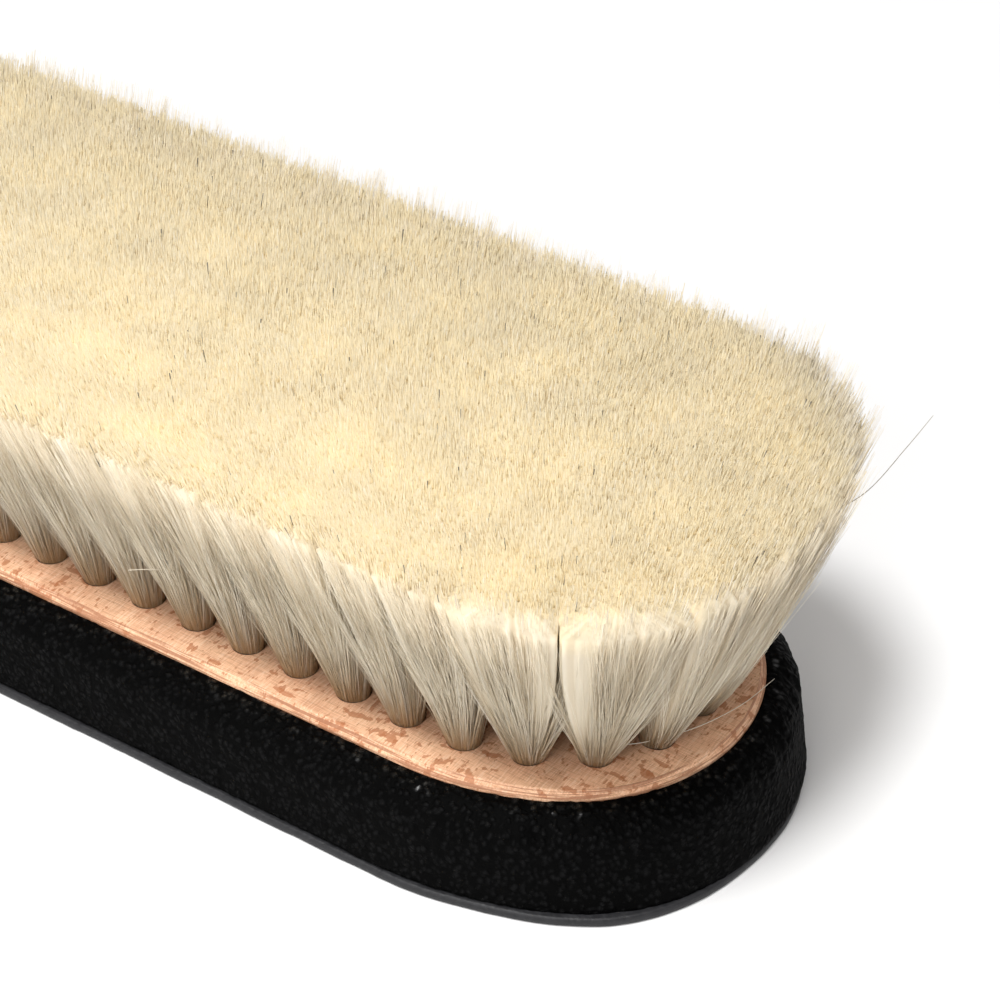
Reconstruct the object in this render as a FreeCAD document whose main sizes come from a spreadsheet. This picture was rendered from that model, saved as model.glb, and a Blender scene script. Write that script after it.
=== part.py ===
"""Shoe shine brush lying on its leather back with the hair up.

A beech block is drilled for tufts of goat hair. Each tuft is folded over a flat steel
anchor and driven into its hole, and all are trimmed level, a little past the edge of the
block. A strip of black leather is glued round the side of the block and over its shoulder,
up to the raised land that carries the tufts, and a leather panel covers the back.

Millimetres. X runs along the brush, Z is up, and the origin is on the floor under the
middle of the back.
"""

import FreeCAD, Part
import math
import os

import Sketcher

Vector = FreeCAD.Vector
doc = FreeCAD.newDocument("shoe_shine_brush")

# ---------------------------------------------------------------- driving dimensions

SIZES = [
    # the back leather: straight sides, and ends of three arcs, with the angle from the
    # middle of the end to where the flank arc follows the tip arc
    ("brush_length", 180.0),
    ("brush_width", 60.0),
    ("end_length", 35.0),
    ("end_join_angle", 64.0),
    ("back_leather_thickness", 1.2),
    # the leather strip round the side
    ("back_leather_ledge", 0.35),
    ("side_leather_thickness", 1.25),
    ("side_leather_top", 13.1),
    ("side_lean_angle", 5.5),
    ("shoulder_radius", 4.0),
    ("strip_joint_gap", 0.3),
    ("glue_line", 0.05),
    # the land, the part of the wood that stands above the leather
    ("land_inset", 5.4),
    ("land_rise", 1.1),
    ("land_bevel", 0.8),
    # the holes: a ring at one distance from the edge all round, and rows inside it
    ("hole_width", 4.1),
    ("hole_depth", 9.0),
    ("rim_inset", 11.5),
    ("rim_pitch", 7.5),
    ("rim_start", 0.5),
    ("inner_rows", 3),
    ("inner_pitch", 9.0),
    ("inner_spacing", 5.8),
    ("splay_angle", 14.0),
    # the hair above the land, and the outline of its trimmed face
    ("hair_length", 31.5),
    ("hair_side_overhang", 0.8),
    ("hair_end_overhang", 1.7),
    ("hair_end_length", 22.7),
    ("hair_join_angle", 10.7),
    ("hair_fit", 0.05),
    ("tuft_parting", 0.15),
    # the anchors
    ("anchor_height", 1.6),
    ("anchor_thickness", 0.4),
    ("anchor_lift", 0.9),
]
HOLE_FLAT_COUNT = 6  # they stand for the round of a hole and of the tuft in it
ARC_FLAT_COUNT = 4  # along each arc of the trimmed face
SAME_PLACE = 0.02

sheet = doc.addObject("Spreadsheet::Sheet", "Sizes")
for row, (alias, number) in enumerate(SIZES, start=1):
    sheet.set(f"A{row}", alias)
    sheet.set(f"B{row}", str(number))
    sheet.setAlias(f"B{row}", alias)
doc.recompute()


def value(formula):
    """The number that a formula on the sheet gives."""
    return float(sheet.evalExpression(formula))


# ---------------------------------------------------------------- outlines


def mirrored(point, sign_x, sign_y):
    return Vector(point.x * sign_x, point.y * sign_y, point.z)


class Outline:
    """A quarter of a long outline: half a straight side, a flank arc and half a tip arc."""

    def __init__(self, half_length, half_width, end_length, join_angle):
        self.apex = Vector(half_length, 0)
        self.side_end = Vector(half_length - end_length, half_width)
        self.join_angle = math.radians(join_angle)
        cosine = math.cos(self.join_angle)
        sine = math.sin(self.join_angle)
        between_centres = (end_length - half_width) / (cosine + sine - 1)
        self.tip_radius = end_length - between_centres * cosine
        self.flank_radius = self.tip_radius + between_centres
        self.tip_centre = self.apex - Vector(self.tip_radius, 0)
        self.flank_centre = self.side_end - Vector(0, self.flank_radius)
        self.join = self.on_tip(self.join_angle)
        self.flank_length = self.flank_radius * (math.pi / 2 - self.join_angle)
        tip_length = self.tip_radius * self.join_angle
        self.quarter_length = self.side_end.x + self.flank_length + tip_length

    def on_flank(self, angle):
        return self.flank_centre + self.flank_radius * Vector(math.cos(angle), math.sin(angle))

    def on_tip(self, angle):
        return self.tip_centre + self.tip_radius * Vector(math.cos(angle), math.sin(angle))

    def flank_middle(self):
        return self.on_flank((math.pi / 2 + self.join_angle) / 2)

    def on_quarter(self, distance):
        """The point so far along the quarter from the middle of the straight side."""
        if distance < self.side_end.x:
            return Vector(distance, self.side_end.y)
        if distance < self.side_end.x + self.flank_length:
            turn = (distance - self.side_end.x) / self.flank_radius
            return self.on_flank(math.pi / 2 - turn)
        return self.on_tip((self.quarter_length - distance) / self.tip_radius)

    def around(self, distance):
        """The point so far round the whole outline, anticlockwise from the middle of its front."""
        quarters, along = divmod(distance, self.quarter_length)
        signs = ((1, -1), (1, 1), (-1, 1), (-1, -1))[int(quarters) % 4]
        if quarters % 2:
            along = self.quarter_length - along
        return mirrored(self.on_quarter(along), *signs)

    def polygon(self, steps):
        """The whole outline, anticlockwise, with each arc of the quarter in so many flats."""
        to_join = self.join_angle / steps
        to_side = (math.pi / 2 - self.join_angle) / steps
        quarter = [self.on_tip(to_join * i) for i in range(steps)]
        quarter += [self.on_flank(self.join_angle + to_side * i) for i in range(steps + 1)]
        half = quarter + [mirrored(point, -1, 1) for point in reversed(quarter)]
        return half + [mirrored(point, 1, -1) for point in reversed(half[1:-1])]


# the back leather's tip arc, which every inset outline shares the centre of
END_COSINE = "cos(Sizes.end_join_angle)"
END_SINE = "sin(Sizes.end_join_angle)"
TIP_SHARE = f"({END_COSINE} / ({END_COSINE} + {END_SINE} - 1))"
TIP_RADIUS = f"(Sizes.end_length - (Sizes.end_length - Sizes.brush_width / 2) * {TIP_SHARE})"


def outline_sketch(body, name, inset, level):
    """The outline of the back leather, moved inwards by inset, at a height above the floor."""
    sketch = body.newObject("Sketcher::SketchObject", name)
    plane = next(f for f in body.Origin.OriginFeatures if f.Role == "XY_Plane")
    sketch.AttachmentSupport = [(plane, "")]
    sketch.MapMode = "FlatFace"
    sketch.setExpression("AttachmentOffset.Base.z", level)
    shape = Outline(
        value(f"Sizes.brush_length / 2 - ({inset})"),
        value(f"Sizes.brush_width / 2 - ({inset})"),
        value(f"Sizes.end_length - ({inset})"),
        value("Sizes.end_join_angle"),
    )

    sides, flanks, tips = {}, {}, {}
    for up in (1, -1):
        line = Part.LineSegment(mirrored(shape.side_end, -1, up), mirrored(shape.side_end, 1, up))
        sides[up] = sketch.addGeometry(line)
    for right in (1, -1):
        for up in (1, -1):
            points = (shape.side_end, shape.flank_middle(), shape.join)
            arc = Part.Arc(*(mirrored(point, right, up) for point in points))
            flanks[right, up] = sketch.addGeometry(arc)
        points = (shape.join, shape.apex, mirrored(shape.join, 1, -1))
        arc = Part.Arc(*(mirrored(point, right, 1) for point in points))
        tips[right] = sketch.addGeometry(arc)

    def constrain(kind, *where):
        return sketch.addConstraint(Sketcher.Constraint(kind, *where))

    def end_at(curve, point):
        """Which end of a curve, 1 or 2, lies at the point."""
        gaps = [(sketch.getPoint(curve, end) - point).Length for end in (1, 2)]
        return 1 + gaps.index(min(gaps))

    def tangent(first, second, point):
        constrain("Tangent", first, end_at(first, point), second, end_at(second, point))

    def dimension(kind, *where, formula):
        index = constrain(kind, *where, value(formula))
        sketch.setExpression(f"Constraints[{index}]", formula)

    for (right, up), flank in flanks.items():
        tangent(sides[up], flank, mirrored(shape.side_end, right, up))
        tangent(flank, tips[right], mirrored(shape.join, right, up))
        if flank != flanks[1, 1]:
            constrain("Equal", flanks[1, 1], flank)
    constrain("PointOnObject", tips[1], 3, -1)
    constrain("Symmetric", sides[1], 1, sides[1], 2, -2)
    constrain("Symmetric", sides[1], 2, sides[-1], 2, -1)
    constrain("Symmetric", tips[1], 3, tips[-1], 3, -1, 1)
    tip_centre = f"Sizes.brush_length / 2 - {TIP_RADIUS}"
    side_end = "Sizes.brush_length / 2 - Sizes.end_length"
    dimension("Radius", tips[1], formula=f"{TIP_RADIUS} - ({inset})")
    dimension("DistanceX", -1, 1, tips[1], 3, formula=tip_centre)
    dimension("DistanceX", -1, 1, sides[1], 2, formula=side_end)
    dimension("DistanceY", -1, 1, sides[1], 2, formula=f"Sizes.brush_width / 2 - ({inset})")
    return sketch


# ---------------------------------------------------------------- wood and leather

LEATHER_AND_GLUE = "(Sizes.side_leather_thickness + Sizes.glue_line)"
STRIP_BASE = "(Sizes.back_leather_thickness + Sizes.glue_line)"
WOOD_INSET = f"(Sizes.back_leather_ledge + {LEATHER_AND_GLUE})"
WOOD_SHOULDER = f"(Sizes.side_leather_top - {LEATHER_AND_GLUE})"
LAND_TOP = "(Sizes.side_leather_top + Sizes.land_rise)"
# the flat that touches the round which the leather's thickness leaves of its shoulder
SHOULDER_FLAT = f"((Sizes.shoulder_radius - {LEATHER_AND_GLUE}) * (2 - sqrt(2)))"


def pad(body, name, inset, base, top, lean="0"):
    """A pad of the outline between two heights above the floor."""
    feature = body.newObject("PartDesign::Pad", name)
    feature.Profile = outline_sketch(body, f"{name}_outline", inset, base)
    feature.setExpression("Length", f"{top} - {base}")
    feature.setExpression("TaperAngle", f"-{lean}")
    doc.recompute()
    return feature


def dress_top(body, kind, name, size_name, formula):
    """A fillet or chamfer of the edges round the top of what the body holds so far."""
    shape = body.Tip.Shape
    top = shape.BoundBox.ZMax
    loop = []
    for number, edge in enumerate(shape.Edges, start=1):
        if all(abs(vertex.Z - top) < SAME_PLACE for vertex in edge.Vertexes):
            loop.append(f"Edge{number}")
    base = body.Tip
    feature = body.newObject(f"PartDesign::{kind}", name)
    feature.Base = (base, loop)
    feature.setExpression(size_name, formula)
    doc.recompute()
    return feature


def wood_form(name, room):
    """The block before drilling, or with room all round it, the space that it takes up.

    Below is the core that the leather is glued to, and on it the land.
    """
    body = doc.addObject("PartDesign::Body", name)
    base = f"({STRIP_BASE} - {room})"
    shoulder = f"({WOOD_SHOULDER} + {room})"
    pad(body, f"{name}_core", f"({WOOD_INSET} - {room})", base, shoulder, "Sizes.side_lean_angle")
    dress_top(body, "Chamfer", f"{name}_shoulder", "Size", SHOULDER_FLAT)
    pad(body, f"{name}_land", f"(Sizes.land_inset - {room})", shoulder, LAND_TOP)
    return body


wood_blank = wood_form("wood_blank", "0")
dress_top(wood_blank, "Chamfer", "land_bevel", "Size", "Sizes.land_bevel")

strip_blank = doc.addObject("PartDesign::Body", "strip_blank")
pad(
    strip_blank,
    "strip_wall",
    "Sizes.back_leather_ledge",
    STRIP_BASE,
    "Sizes.side_leather_top",
    "Sizes.side_lean_angle",
)
dress_top(strip_blank, "Fillet", "strip_shoulder", "Radius", "Sizes.shoulder_radius")

wood_room = wood_form("wood_room", "Sizes.glue_line")
strip_ring = doc.addObject("Part::Cut", "strip_ring")
strip_ring.Base = strip_blank
strip_ring.Tool = wood_room

# the two ends of the strip meet at the far end of the brush
joint_slot = doc.addObject("Part::Box", "joint_slot")
joint_slot.setExpression("Length", "Sizes.land_inset * 2")
joint_slot.setExpression("Width", "Sizes.strip_joint_gap")
joint_slot.setExpression("Height", "Sizes.side_leather_top * 2")
joint_slot.setExpression("Placement.Base.x", "-Sizes.brush_length / 2 - Sizes.land_inset / 2")
joint_slot.setExpression("Placement.Base.y", "-Sizes.strip_joint_gap / 2")

side_leather = doc.addObject("Part::Cut", "side_leather")
side_leather.Base = strip_ring
side_leather.Tool = joint_slot

back_leather = doc.addObject("PartDesign::Body", "back_leather")
pad(back_leather, "back_panel", "0", "0", "Sizes.back_leather_thickness")


# ---------------------------------------------------------------- where the tufts stand

ring = Outline(
    value("Sizes.brush_length / 2 - Sizes.rim_inset"),
    value("Sizes.brush_width / 2 - Sizes.rim_inset"),
    value("Sizes.end_length - Sizes.rim_inset"),
    value("Sizes.end_join_angle"),
)


def rim_places():
    """Tufts spaced evenly all round the ring."""
    whole = 4 * ring.quarter_length
    count = round(whole / value("Sizes.rim_pitch"))
    start = value("Sizes.rim_start")
    return [ring.around(whole * i / count - start) for i in range(count)]


def inner_row(row, count, rim):
    """Tufts of one row inside the rim, every other row moved along by half a step."""
    pitch = value("Sizes.inner_pitch")
    y = ring.side_end.y * (2 * (row + 1) / (count + 1) - 1)
    end = ring.tip_centre.x + math.sqrt(ring.tip_radius**2 - y**2)
    shift = (row + count // 2) % 2 / 2
    steps = range(-math.ceil(end / pitch), math.ceil(end / pitch) + 1)
    line = [Vector(pitch * (step + shift), y) for step in steps]
    line = [place for place in line if abs(place.x) < end]
    spacing = value("Sizes.inner_spacing")
    return [place for place in line if min((place - other).Length for other in rim) > spacing]


rim = rim_places()
end_from = ring.tip_centre.x
rows = {
    "rim_tufts_back": [p for p in rim if abs(p.x) <= end_from and p.y > 0],
    "rim_tufts_front": [p for p in rim if abs(p.x) <= end_from and p.y < 0],
    "rim_tufts_near_end": [p for p in rim if p.x > end_from],
    "rim_tufts_far_end": [p for p in rim if p.x < -end_from],
}
inner_count = round(value("Sizes.inner_rows"))
for row in range(inner_count):
    rows[f"inner_tufts_row_{row + 1}"] = inner_row(row, inner_count, rim)


# ---------------------------------------------------------------- holes, tufts and anchors


def solid_of(faces):
    """One solid from flat faces, each a list of corners."""
    shell = Part.makeShell([Part.Face(Part.makePolygon(f + f[:1])) for f in faces])
    return Part.makeSolid(shell)


def lowest_first(outline):
    """The same outline, begun at its lowest corner, and of those at the left one."""
    start = min(range(len(outline)), key=lambda i: (outline[i].y, outline[i].x))
    return outline[start:] + outline[:start]


def flare(lower, upper):
    """The triangles between two convex outlines, both anticlockwise and level."""
    corners = (lowest_first(lower), lowest_first(upper))
    turns = []
    for which, outline in enumerate(corners):
        for i, point in enumerate(outline):
            edge = outline[(i + 1) % len(outline)] - point
            turns.append((math.atan2(edge.y, edge.x) % (2 * math.pi), which))
    at = [0, 0]
    faces = []
    for _, which in sorted(turns):
        here, there = (corners[k][at[k] % len(corners[k])] for k in (which, 1 - which))
        after = corners[which][(at[which] + 1) % len(corners[which])]
        faces.append([here, after, there])
        at[which] += 1
    return faces


def clipped(outline, point, normal):
    """What is left of a convex outline behind the line through the point."""
    kept = []
    for a, b in zip(outline, outline[1:] + outline[:1]):
        depth_a, depth_b = (a - point).dot(normal), (b - point).dot(normal)
        if depth_a <= 0:
            kept.append(a)
        if depth_a * depth_b < 0:
            kept.append(a + (b - a) * (depth_a / (depth_a - depth_b)))
    return [p for i, p in enumerate(kept) if (p - kept[i - 1]).Length > SAME_PLACE]


class Tuft:
    """One hole, the tuft in it and its anchor.

    The hole slants outwards the more the nearer it is to the rim. Across is the way of
    the anchor, which lies over the grain of the wood.
    """

    def __init__(self, place):
        along = min(max(place.x, -ring.tip_centre.x), ring.tip_centre.x)
        slant = math.tan(math.radians(value("Sizes.splay_angle")))
        lean = (place - Vector(along, 0)) * (slant / ring.side_end.y)
        self.axis = Vector(lean.x, lean.y, 1).normalize()
        self.mouth = Vector(place.x, place.y, value(LAND_TOP))
        self.spread = place + lean * value("Sizes.hair_length")
        self.across = self.axis.cross(Vector(1, 0, 0)).normalize()
        self.forward = self.across.cross(self.axis)
        self.bottom = self.mouth - self.axis * value("Sizes.hole_depth")

    def flats(self, width):
        """Corners round the axis of the hole, for a given width over the flats."""
        half_turn = math.pi / HOLE_FLAT_COUNT
        radius = width / 2 / math.cos(half_turn)
        corners = []
        for i in range(HOLE_FLAT_COUNT):
            turn = half_turn * (2 * i + 1)
            corner = self.across * math.cos(turn) - self.forward * math.sin(turn)
            corners.append(corner * radius)
        return corners

    def hole(self):
        """The cut that a drill leaves, carried on out of the mouth."""
        width = value("Sizes.hole_width")
        corners = [self.bottom + corner for corner in self.flats(width)]
        face = Part.Face(Part.makePolygon(corners + corners[:1]))
        return face.extrude(self.axis * value("Sizes.hole_depth + Sizes.hole_width"))

    def anchor(self):
        """A flat strip on edge across the hole, its ends against the wood."""
        return self.strip(value("Sizes.hole_width"))

    def strip(self, length):
        """The anchor's section carried across the hole for a given length."""
        thickness = value("Sizes.anchor_thickness")
        corner = self.bottom + self.axis * value("Sizes.anchor_lift")
        corner = corner - self.across * (length / 2) - self.forward * (thickness / 2)
        base = [corner, corner + self.forward * thickness]
        base += [base[1] + self.across * length, corner + self.across * length]
        face = Part.Face(Part.makePolygon(base + base[:1]))
        return face.extrude(self.axis * value("Sizes.anchor_height"))

    def cell(self, face, others):
        """The tuft's share of the trimmed face, halfway to each neighbour."""
        half_parting = value("Sizes.tuft_parting / 2")
        outline = face
        for other in others:
            way = other.spread - self.spread
            if way.Length < SAME_PLACE:
                continue
            middle = (self.spread + other.spread) / 2
            way.normalize()
            outline = clipped(outline, middle - way * half_parting, way)
        top = value(f"{LAND_TOP} + Sizes.hair_length")
        return [Vector(point.x, point.y, top) for point in outline]

    def hair(self, face, others):
        """The foot in its hole, then a flare from the mouth to the cell, less the anchor."""
        width = value("Sizes.hole_width - 2 * Sizes.hair_fit")
        flats = self.flats(width)
        foot = [self.bottom + self.axis * value("Sizes.hair_fit") + corner for corner in flats]
        neck = [c + self.axis * ((self.mouth.z - c.z) / self.axis.z) for c in foot]
        cell = self.cell(face, others)
        faces = [foot, cell] + flare(neck, cell)
        for i in range(HOLE_FLAT_COUNT):
            k = (i + 1) % HOLE_FLAT_COUNT
            faces.append([foot[i], foot[k], neck[k], neck[i]])
        slot = self.strip(value("Sizes.hole_width * 2"))
        return solid_of(faces).cut(slot)


tufts = {name: [Tuft(place) for place in places] for name, places in rows.items()}
every_tuft = [tuft for row in tufts.values() for tuft in row]
trimmed_face = Outline(
    value("Sizes.brush_length / 2 + Sizes.hair_end_overhang"),
    value("Sizes.brush_width / 2 + Sizes.hair_side_overhang"),
    value("Sizes.hair_end_length"),
    value("Sizes.hair_join_angle"),
).polygon(ARC_FLAT_COUNT)


def group(name, solids):
    """A sub-part of many like solids."""
    feature = doc.addObject("Part::Feature", name)
    feature.Shape = Part.makeCompound(solids)
    feature.Placement = FreeCAD.Placement()
    return feature


drills = group("drills", [tuft.hole() for tuft in every_tuft])
wood_block = doc.addObject("Part::Cut", "wood_block")
wood_block.Base = wood_blank
wood_block.Tool = drills
anchors = group("tuft_anchors", [tuft.anchor() for tuft in every_tuft])
hair = []
for name, row in tufts.items():
    hair.append(group(name, [tuft.hair(trimmed_face, every_tuft) for tuft in row]))

# ---------------------------------------------------------------- checks and files

doc.recompute()
for item in doc.Objects:
    if "Invalid" in item.State or "Error" in item.State:
        raise RuntimeError(f"{item.Label} failed: {item.State}")
if wood_block.Shape.Volume >= wood_blank.Shape.Volume:
    raise RuntimeError("the holes cut nothing")

os.makedirs("parts", exist_ok=True)
for piece in [wood_block, side_leather, back_leather, anchors, *hair]:
    if piece.Shape.isNull() or not piece.Shape.isValid():
        raise RuntimeError(f"{piece.Label} has no valid shape")
    piece.Shape.exportStep(f"parts/{piece.Label}.step")
    print(f"{piece.Label}: {len(piece.Shape.Solids)} solids, {piece.Shape.Volume:.0f} mm3")
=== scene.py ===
"""The looks of a shoe shine brush that lies on its leather back with the hair up.

Metres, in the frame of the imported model: X along the brush, Z up, origin on the floor.
"""
import math

import bpy
import numpy as np
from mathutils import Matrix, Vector, noise


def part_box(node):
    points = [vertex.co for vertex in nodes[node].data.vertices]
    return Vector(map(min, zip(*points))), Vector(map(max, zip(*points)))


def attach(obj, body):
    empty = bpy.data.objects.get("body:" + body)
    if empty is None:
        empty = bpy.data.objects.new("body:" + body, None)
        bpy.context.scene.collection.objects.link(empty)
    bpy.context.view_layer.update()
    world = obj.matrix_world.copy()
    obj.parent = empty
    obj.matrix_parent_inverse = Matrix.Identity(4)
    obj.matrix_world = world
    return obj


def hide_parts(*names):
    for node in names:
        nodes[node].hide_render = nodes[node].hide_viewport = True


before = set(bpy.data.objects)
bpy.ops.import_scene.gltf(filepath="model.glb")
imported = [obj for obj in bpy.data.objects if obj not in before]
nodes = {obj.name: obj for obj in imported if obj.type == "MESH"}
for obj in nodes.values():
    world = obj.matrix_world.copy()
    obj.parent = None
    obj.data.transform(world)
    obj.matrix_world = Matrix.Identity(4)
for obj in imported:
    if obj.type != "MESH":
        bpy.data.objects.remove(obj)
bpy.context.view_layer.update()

mm = 0.001
bpy.ops.object.select_all(action="DESELECT")

# ---------------------------------------------------------------- beech block
# One block of steamed beech, cut to the outline, drilled for the tufts and left bare on its
# face. The sander leaves a narrow bevel round the land. Beech shows small brown ray flecks,
# fine pores along the grain and a faint weave of light and dark across it.


class Wire:
    """An output of one of a finish's nodes. Arithmetic on wires adds Math nodes."""

    def __init__(self, finish, socket):
        self.finish = finish
        self.socket = socket

    def maths(self, operation, *values):
        return self.finish.add("Math", {"operation": operation}, dict(enumerate(values)))

    def __add__(self, other):
        return self.maths("ADD", self, other)

    def __sub__(self, other):
        return self.maths("SUBTRACT", self, other)

    def __rsub__(self, other):
        return self.maths("SUBTRACT", other, self)

    def __mul__(self, other):
        return self.maths("MULTIPLY", self, other)

    __radd__ = __add__
    __rmul__ = __mul__

    def rise(self, low, high):
        """0 below low, 1 above high and smooth between; falls if low is the larger."""
        steps = {0: self, 1: low, 2: high, 3: 0.0, 4: 1.0}
        return self.finish.add("MapRange", {"interpolation_type": "SMOOTHSTEP"}, steps)


class Finish:
    """A material made of nodes."""

    def __init__(self, name):
        self.material = bpy.data.materials.new(name)
        self.material.use_nodes = True
        self.tree = self.material.node_tree
        self.shader = self.tree.nodes["Principled BSDF"]

    def add(self, kind, settings=None, values=None, output=0):
        """A node of that kind: its settings, then the values or wires of its sockets."""
        node = self.tree.nodes.new("ShaderNode" + kind)
        for name, setting in (settings or {}).items():
            setattr(node, name, setting)
        for socket, value in (values or {}).items():
            self.feed(node, socket, value)
        return Wire(self, node.outputs[output])

    def feed(self, node, socket, value):
        if isinstance(value, Wire):
            self.tree.links.new(value.socket, node.inputs[socket])
        else:
            node.inputs[socket].default_value = value

    def set(self, **values):
        """Sockets of the surface's shader, by name, with _ for a space."""
        for name, value in values.items():
            self.feed(self.shader, name.replace("_", " "), value)

    def place(self, across=1.0, along=1.0, up=1.0):
        """Position on the object in millimetres, times a stretch for each axis."""
        spot = self.add("TexCoord", output="Object")
        scale = (along / mm, across / mm, up / mm)
        return self.add("VectorMath", {"operation": "MULTIPLY"}, {0: spot, 1: scale})

    def noise(self, spot, scale, detail=2.0, roughness=0.5):
        values = {"Vector": spot, "Scale": scale, "Detail": detail, "Roughness": roughness}
        return self.add("TexNoise", None, values)

    def mix(self, share, first, second, blend="MIX"):
        values = {0: share, 6: first, 7: second}
        settings = {"data_type": "RGBA", "blend_type": blend}
        return self.add("Mix", settings, values, output=2)

    def bump(self, height, depth):
        """A normal for a height from 0 to 1 that stands for a depth in millimetres."""
        values = {"Height": height, "Distance": depth * mm}
        self.set(Normal=self.add("Bump", None, values))

    def put_on(self, piece):
        piece.data.materials.clear()
        piece.data.materials.append(self.material)


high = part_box("back_leather")[1]
HALF_LENGTH = high.x
HALF_WIDTH = high.y
END_LENGTH = 35 * mm
END_JOIN = math.radians(64)

cosine, sine = math.cos(END_JOIN), math.sin(END_JOIN)
centres_apart = (END_LENGTH - HALF_WIDTH) / (cosine + sine - 1)
tip_radius = END_LENGTH - centres_apart * cosine
flank_radius = tip_radius + centres_apart
tip_x = HALF_LENGTH - tip_radius
side_x = HALF_LENGTH - END_LENGTH
flank_y = flank_radius - HALF_WIDTH


def edit(piece):
    """Only this piece selected, active and open for editing, all of it selected."""
    bpy.ops.object.select_all(action="DESELECT")
    piece.select_set(True)
    bpy.context.view_layer.objects.active = piece
    bpy.ops.object.mode_set(mode="EDIT")
    bpy.ops.mesh.select_all(action="SELECT")


def section(name, corners):
    """A closed line through the corners, each so far out from the far tip of the outline
    and so high, ready to be carried round the brush."""
    bpy.ops.mesh.primitive_circle_add(vertices=len(corners), radius=1)
    piece = bpy.context.object
    piece.name = piece.data.name = name
    for vertex, (out, up) in zip(piece.data.vertices, corners):
        vertex.co = (-HALF_LENGTH - out, 0, up)
    return piece


def open_ends(piece):
    """Opens the piece for editing and takes out the edge that closes its section."""
    edit(piece)
    bpy.ops.mesh.select_mode(type="EDGE")
    bpy.ops.mesh.select_all(action="DESELECT")
    bpy.ops.object.mode_set(mode="OBJECT")
    closing = {0, len(piece.data.vertices) - 1}
    for edge in piece.data.edges:
        edge.select = set(edge.vertices) == closing
    bpy.ops.object.mode_set(mode="EDIT")
    bpy.ops.mesh.delete(type="EDGE")
    bpy.ops.mesh.select_all(action="SELECT")


def carry_round(step, seam=0.0):
    """Carries the selected section once round the outline, from the far end back to it."""
    half_seam = seam / 2 / tip_radius

    def turn(centre_x, centre_y, radius, angle):
        bpy.ops.mesh.spin(steps=round(radius * angle / step), angle=angle,
                          center=(centre_x, centre_y, 0), axis=(0, 0, 1))

    def run(length):
        steps = round(abs(length) / step)
        bpy.ops.mesh.extrude_repeat(steps=steps, offset=(length / steps, 0, 0))

    flank = math.pi / 2 - END_JOIN
    turn(-tip_x, 0, tip_radius, END_JOIN - half_seam)
    turn(-side_x, -flank_y, flank_radius, flank)
    run(2 * side_x)
    turn(side_x, -flank_y, flank_radius, flank)
    turn(tip_x, 0, tip_radius, 2 * END_JOIN)
    turn(side_x, flank_y, flank_radius, flank)
    run(-2 * side_x)
    turn(-side_x, flank_y, flank_radius, flank)
    turn(-tip_x, 0, tip_radius, END_JOIN - half_seam)


def close_up(piece):
    """Doubles merged, holes filled, faces outwards and smooth."""
    bpy.ops.mesh.select_all(action="SELECT")
    bpy.ops.mesh.remove_doubles(threshold=0.02 * mm)
    bpy.ops.mesh.fill_holes(sides=0)
    bpy.ops.mesh.select_all(action="SELECT")
    bpy.ops.mesh.normals_make_consistent(inside=False)
    bpy.ops.object.mode_set(mode="OBJECT")
    bpy.ops.object.shade_smooth_by_angle(angle=math.radians(50))


def coordinates(mesh, kind="co"):
    data = mesh.vertices if kind == "co" else mesh.vertex_normals
    found = np.empty(len(mesh.vertices) * 3)
    data.foreach_get(kind if kind == "co" else "vector", found)
    return found.reshape(-1, 3)


def inset(spots):
    """How far places on the plan lie inside the outline of the leather."""
    x, y = np.abs(spots[..., 0]), np.abs(spots[..., 1])
    from_tip = tip_radius - np.hypot(x - tip_x, y)
    from_flank = flank_radius - np.hypot(x - side_x, y + flank_y)
    at_tip = np.arctan2(y + flank_y, x - side_x) < END_JOIN
    return np.where(x < side_x, HALF_WIDTH - y, np.where(at_tip, from_tip, from_flank))


def loose_parts(name):
    """The corners of each solid of one node of the frame."""
    mesh = nodes[name].data
    triangles = np.empty(len(mesh.loops), int)
    mesh.loops.foreach_get("vertex_index", triangles)
    corners, index = np.unique(np.round(coordinates(mesh), 7), axis=0, return_inverse=True)
    triangles = index.ravel()[triangles].reshape(-1, 3)
    group = np.arange(len(corners))
    while True:
        before = group.copy()
        lowest = group[triangles].min(axis=1)
        for column in range(3):
            np.minimum.at(group, triangles[:, column], lowest)
        group = group[group]
        if (group == before).all():
            break
    return [corners[group == number] for number in np.unique(group)]


LAND_INSET = 5.4 * mm
LAND_BEVEL = 0.8 * mm
CORE_INSET = 1.65 * mm
LEAN = math.radians(5.5)
SHOULDER_UP = 11.8 * mm
SHOULDER_FLAT = 1.6 * mm
BEVEL_STEPS = 7
CHIP_DEPTH = 0.16 * mm
HOLE_RADIUS = 2.08 * mm
HOLE_DEPTH = 9 * mm
DRILL_LENGTH = 12 * mm
NEAR = 0.05 * mm
HAIR_ROWS = ("rim_tufts_back", "rim_tufts_front", "rim_tufts_near_end", "rim_tufts_far_end",
             "inner_tufts_row_1", "inner_tufts_row_2", "inner_tufts_row_3")

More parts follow.
